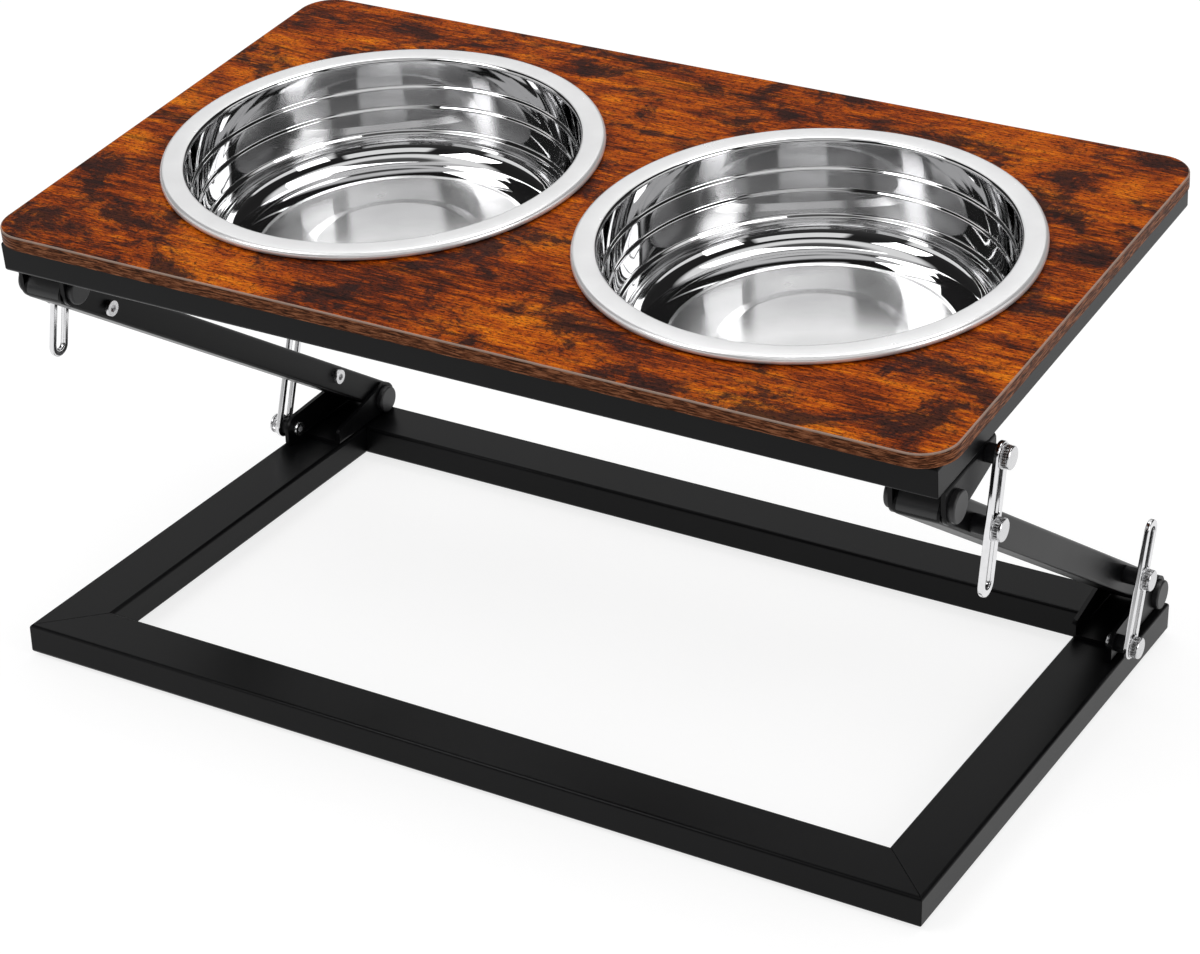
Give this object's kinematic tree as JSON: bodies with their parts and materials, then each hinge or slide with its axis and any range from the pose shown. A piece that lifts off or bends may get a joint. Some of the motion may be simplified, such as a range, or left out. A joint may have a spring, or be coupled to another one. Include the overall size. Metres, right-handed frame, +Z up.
{
  "type": "elevated dog bowl stand",
  "caption": "Folding raised feeder stand: steel base frame, hinged arms with slotted clamp links, tilting wood-look tabletop and lift-out steel bowls.",
  "frame": {"origin": "on the floor under the middle of the base frame", "axes": "+X along the stand to its right, +Y to the back where the arms hinge on the base, +Z up"},
  "size_m": [0.5802, 0.328, 0.2935],
  "materials": {
    "black_steel": "satin black powder coat",
    "chrome_link": "polished",
    "zinc_fastener": "bright zinc plate",
    "black_bolt": "black oxide",
    "bowl_steel": "mirror inside, satin rim",
    "wood_board": "rustic brown woodgrain laminate",
    "black_plastic": "moulded",
    "rubber_foot": "matte"
  },
  "bodies": {
    "base": {"base_bracket_left": "black_steel", "base_bracket_right": "black_steel", "base_clamp_bolts": "zinc_fastener", "base_clamp_spacers": "black_bolt", "base_clamp_washers": "zinc_fastener", "base_feet": "rubber_foot", "base_tube_back": "black_steel", "base_tube_front": "black_steel", "base_tube_left": "black_steel", "base_tube_right": "black_steel", "rear_pivot_bolts": "black_bolt", "rear_pivot_caps": "black_plastic"},
    "arms": {"arm_clamp_bolts": "zinc_fastener", "arm_clamp_spacers": "black_bolt", "arm_clamp_washers": "zinc_fastener", "arm_front_plugs": "black_plastic", "arm_left": "black_steel", "arm_pivot_sleeves": "black_bolt", "arm_rear_plugs": "black_plastic", "arm_right": "black_steel"},
    "tabletop": {"board_screws": "zinc_fastener", "front_pivot_bolts": "black_bolt", "front_pivot_caps": "black_plastic", "tabletop_board": "wood_board", "top_bracket_left": "black_steel", "top_bracket_right": "black_steel", "top_clamp_bolts": "zinc_fastener", "top_clamp_spacers": "black_bolt", "top_clamp_washers": "zinc_fastener", "top_tube_back": "black_steel", "top_tube_front": "black_steel", "top_tube_left": "black_steel", "top_tube_right": "black_steel"},
    "base_nut_left": {"base_nut_left": "zinc_fastener"},
    "rear_arm_nut_left": {"rear_arm_nut_left": "zinc_fastener"},
    "front_arm_nut_left": {"front_arm_nut_left": "zinc_fastener"},
    "top_nut_left": {"top_nut_left": "zinc_fastener"},
    "rear_link_left": {"rear_link_left": "chrome_link"},
    "front_link_left": {"front_link_left": "chrome_link"},
    "bowl_left": {"bowl_left": "bowl_steel"},
    "base_nut_right": {"base_nut_right": "zinc_fastener"},
    "rear_arm_nut_right": {"rear_arm_nut_right": "zinc_fastener"},
    "front_arm_nut_right": {"front_arm_nut_right": "zinc_fastener"},
    "top_nut_right": {"top_nut_right": "zinc_fastener"},
    "rear_link_right": {"rear_link_right": "chrome_link"},
    "front_link_right": {"front_link_right": "chrome_link"},
    "bowl_right": {"bowl_right": "bowl_steel"}
  },
  "joints": [
    {"name": "arm_raise", "type": "hinge", "parent": "base", "child": "arms", "pos_m": [0, 0.153, 0.0305], "axis": [-1, 0, 0], "range_deg": [-23, 26]},
    {"name": "tabletop_tilt", "type": "hinge", "parent": "arms", "child": "tabletop", "pos_m": [0, -0.13254, 0.22538], "axis": [1, 0, 0], "range_deg": [-31, 30]},
    {"name": "rear_link_left_swing", "type": "hinge", "parent": "base", "child": "rear_link_left", "pos_m": [-0.2836, 0.09502, 0.02898], "axis": [-1, 0, 0], "range_deg": [-12, 13.5]},
    {"name": "front_link_left_swing", "type": "hinge", "parent": "tabletop", "child": "front_link_left", "pos_m": [-0.2836, -0.09642, 0.2372], "axis": [1, 0, 0], "range_deg": [-15.5, 16]},
    {"name": "rear_link_right_swing", "type": "hinge", "parent": "base", "child": "rear_link_right", "pos_m": [0.2836, 0.09502, 0.02898], "axis": [-1, 0, 0], "range_deg": [-12, 13.5]},
    {"name": "front_link_right_swing", "type": "hinge", "parent": "tabletop", "child": "front_link_right", "pos_m": [0.2836, -0.09642, 0.2372], "axis": [1, 0, 0], "range_deg": [-15.5, 16]},
    {"name": "base_nut_left_turn", "type": "hinge", "parent": "base", "child": "base_nut_left", "pos_m": [-0.288, 0.09502, 0.02898], "axis": [-1, 0, 0], "continuous": true},
    {"name": "rear_arm_nut_left_turn", "type": "hinge", "parent": "arms", "child": "rear_arm_nut_left", "pos_m": [-0.288, 0.10705, 0.06589], "axis": [-1, 0, 0], "continuous": true},
    {"name": "front_arm_nut_left_turn", "type": "hinge", "parent": "arms", "child": "front_arm_nut_left", "pos_m": [-0.288, -0.1033, 0.20111], "axis": [-1, 0, 0], "continuous": true},
    {"name": "top_nut_left_turn", "type": "hinge", "parent": "tabletop", "child": "top_nut_left", "pos_m": [-0.288, -0.09642, 0.2372], "axis": [-1, 0, 0], "continuous": true},
    {"name": "base_nut_right_turn", "type": "hinge", "parent": "base", "child": "base_nut_right", "pos_m": [0.288, 0.09502, 0.02898], "axis": [1, 0, 0], "continuous": true},
    {"name": "rear_arm_nut_right_turn", "type": "hinge", "parent": "arms", "child": "rear_arm_nut_right", "pos_m": [0.288, 0.10705, 0.06589], "axis": [1, 0, 0], "continuous": true},
    {"name": "front_arm_nut_right_turn", "type": "hinge", "parent": "arms", "child": "front_arm_nut_right", "pos_m": [0.288, -0.1033, 0.20111], "axis": [1, 0, 0], "continuous": true},
    {"name": "top_nut_right_turn", "type": "hinge", "parent": "tabletop", "child": "top_nut_right", "pos_m": [0.288, -0.09642, 0.2372], "axis": [1, 0, 0], "continuous": true},
    {"name": "bowl_left_lift", "type": "slide", "parent": "tabletop", "child": "bowl_left", "axis": [0, -0.0906, 0.9959], "range_m": [0, 0.1]},
    {"name": "bowl_right_lift", "type": "slide", "parent": "tabletop", "child": "bowl_right", "axis": [0, -0.0906, 0.9959], "range_m": [0, 0.1]}
  ],
  "couplings": [
    {"joint": "rear_link_left_swing", "follows": "arm_raise", "ratio": 0.5},
    {"joint": "front_link_left_swing", "follows": "tabletop_tilt", "ratio": -0.5},
    {"joint": "rear_link_right_swing", "follows": "arm_raise", "ratio": 0.5},
    {"joint": "front_link_right_swing", "follows": "tabletop_tilt", "ratio": -0.5}
  ]
}
